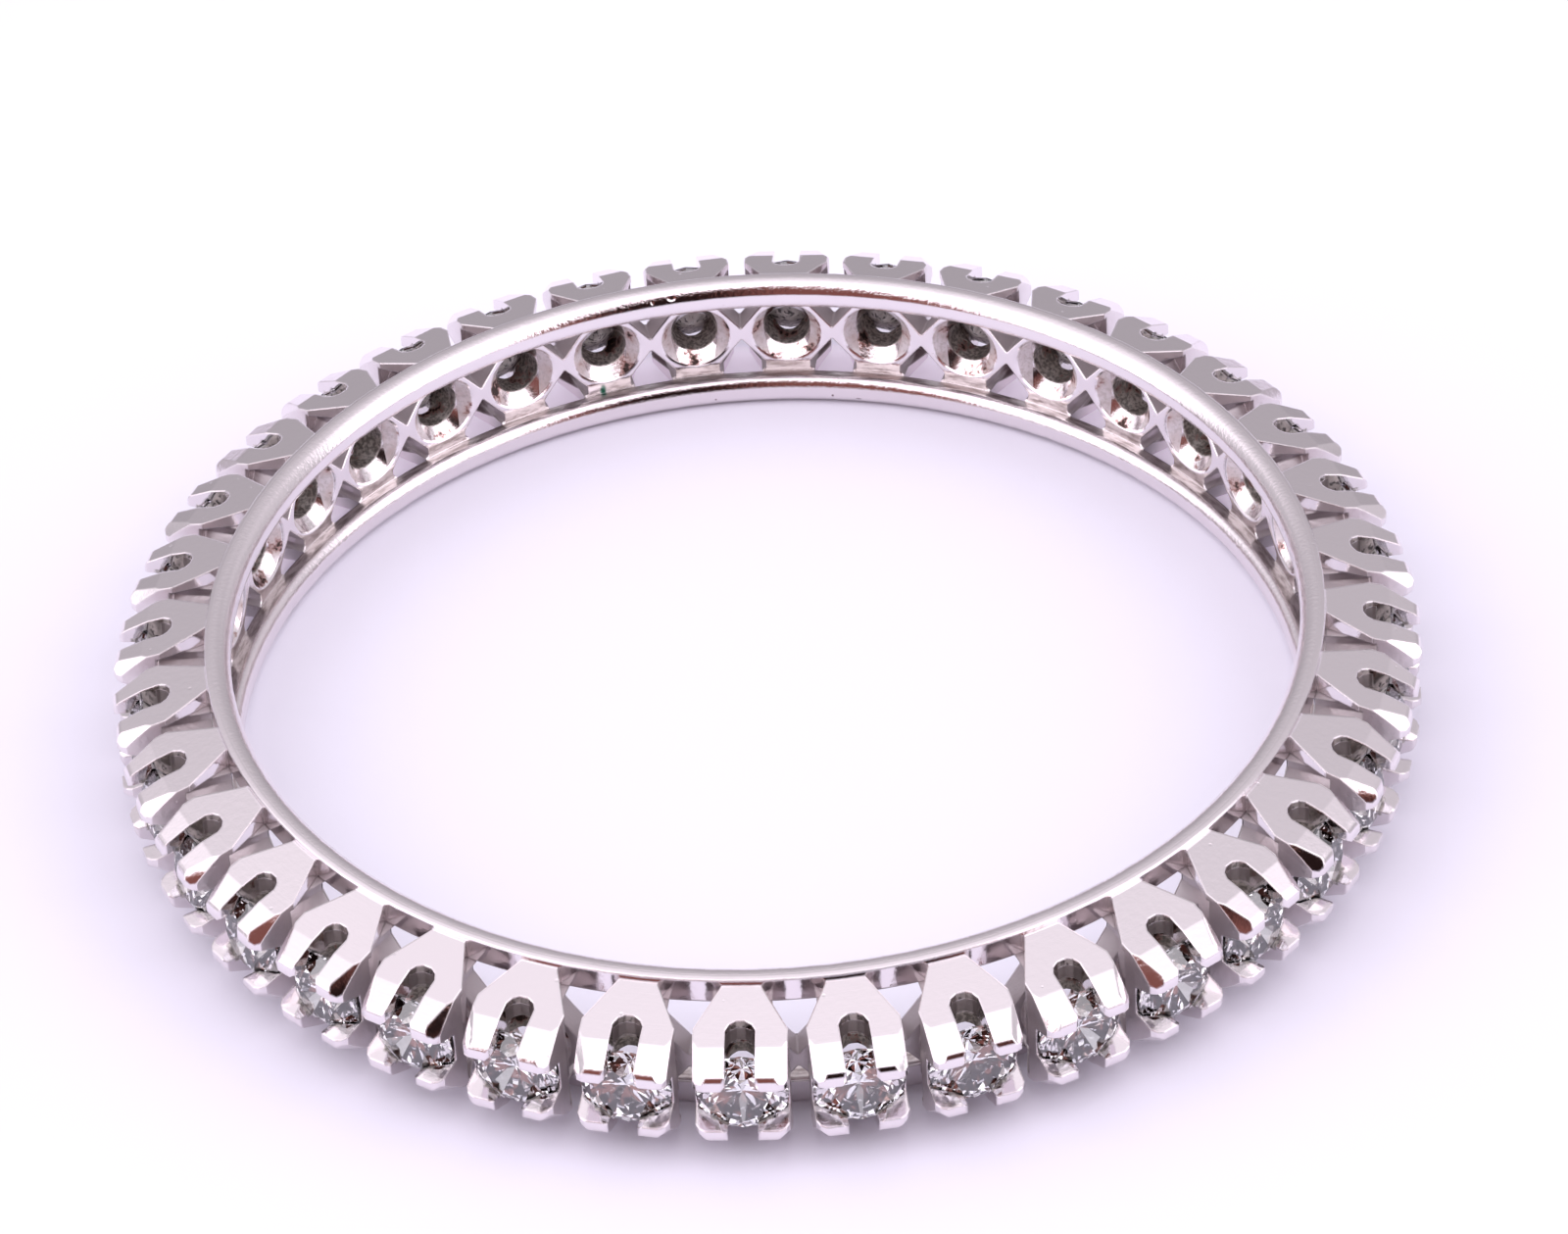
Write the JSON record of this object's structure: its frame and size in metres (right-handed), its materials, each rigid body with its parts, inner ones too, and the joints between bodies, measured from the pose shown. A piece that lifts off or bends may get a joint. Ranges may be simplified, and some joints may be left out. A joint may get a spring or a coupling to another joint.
{
  "type": "eternity ring",
  "caption": "Full eternity ring: a pierced white metal band with a row of round stones, each in its own four-claw collet.",
  "frame": {"origin": "on the bore's axis, in the plane that the ring's lower face rests on when it lies on its side", "axes": "+Z along the bore's axis, up from the face it lies on; +X through the middle of the first stone"},
  "size_m": [0.0208, 0.0208, 0.0025],
  "materials": {
    "white_metal": "polished, with fine wear scratches",
    "diamond": "cut and polished"
  },
  "bodies": {
    "root": {"setting": "white_metal", "stone_01": "diamond", "stone_02": "diamond", "stone_03": "diamond", "stone_04": "diamond", "stone_05": "diamond", "stone_06": "diamond", "stone_07": "diamond", "stone_08": "diamond", "stone_09": "diamond", "stone_10": "diamond", "stone_11": "diamond", "stone_12": "diamond", "stone_13": "diamond", "stone_14": "diamond", "stone_15": "diamond", "stone_16": "diamond", "stone_17": "diamond", "stone_18": "diamond", "stone_19": "diamond", "stone_20": "diamond", "stone_21": "diamond", "stone_22": "diamond", "stone_23": "diamond", "stone_24": "diamond", "stone_25": "diamond", "stone_26": "diamond", "stone_27": "diamond", "stone_28": "diamond", "stone_29": "diamond", "stone_30": "diamond", "stone_31": "diamond", "stone_32": "diamond", "stone_33": "diamond", "stone_34": "diamond", "stone_35": "diamond", "stone_36": "diamond"}
  },
  "joints": []
}
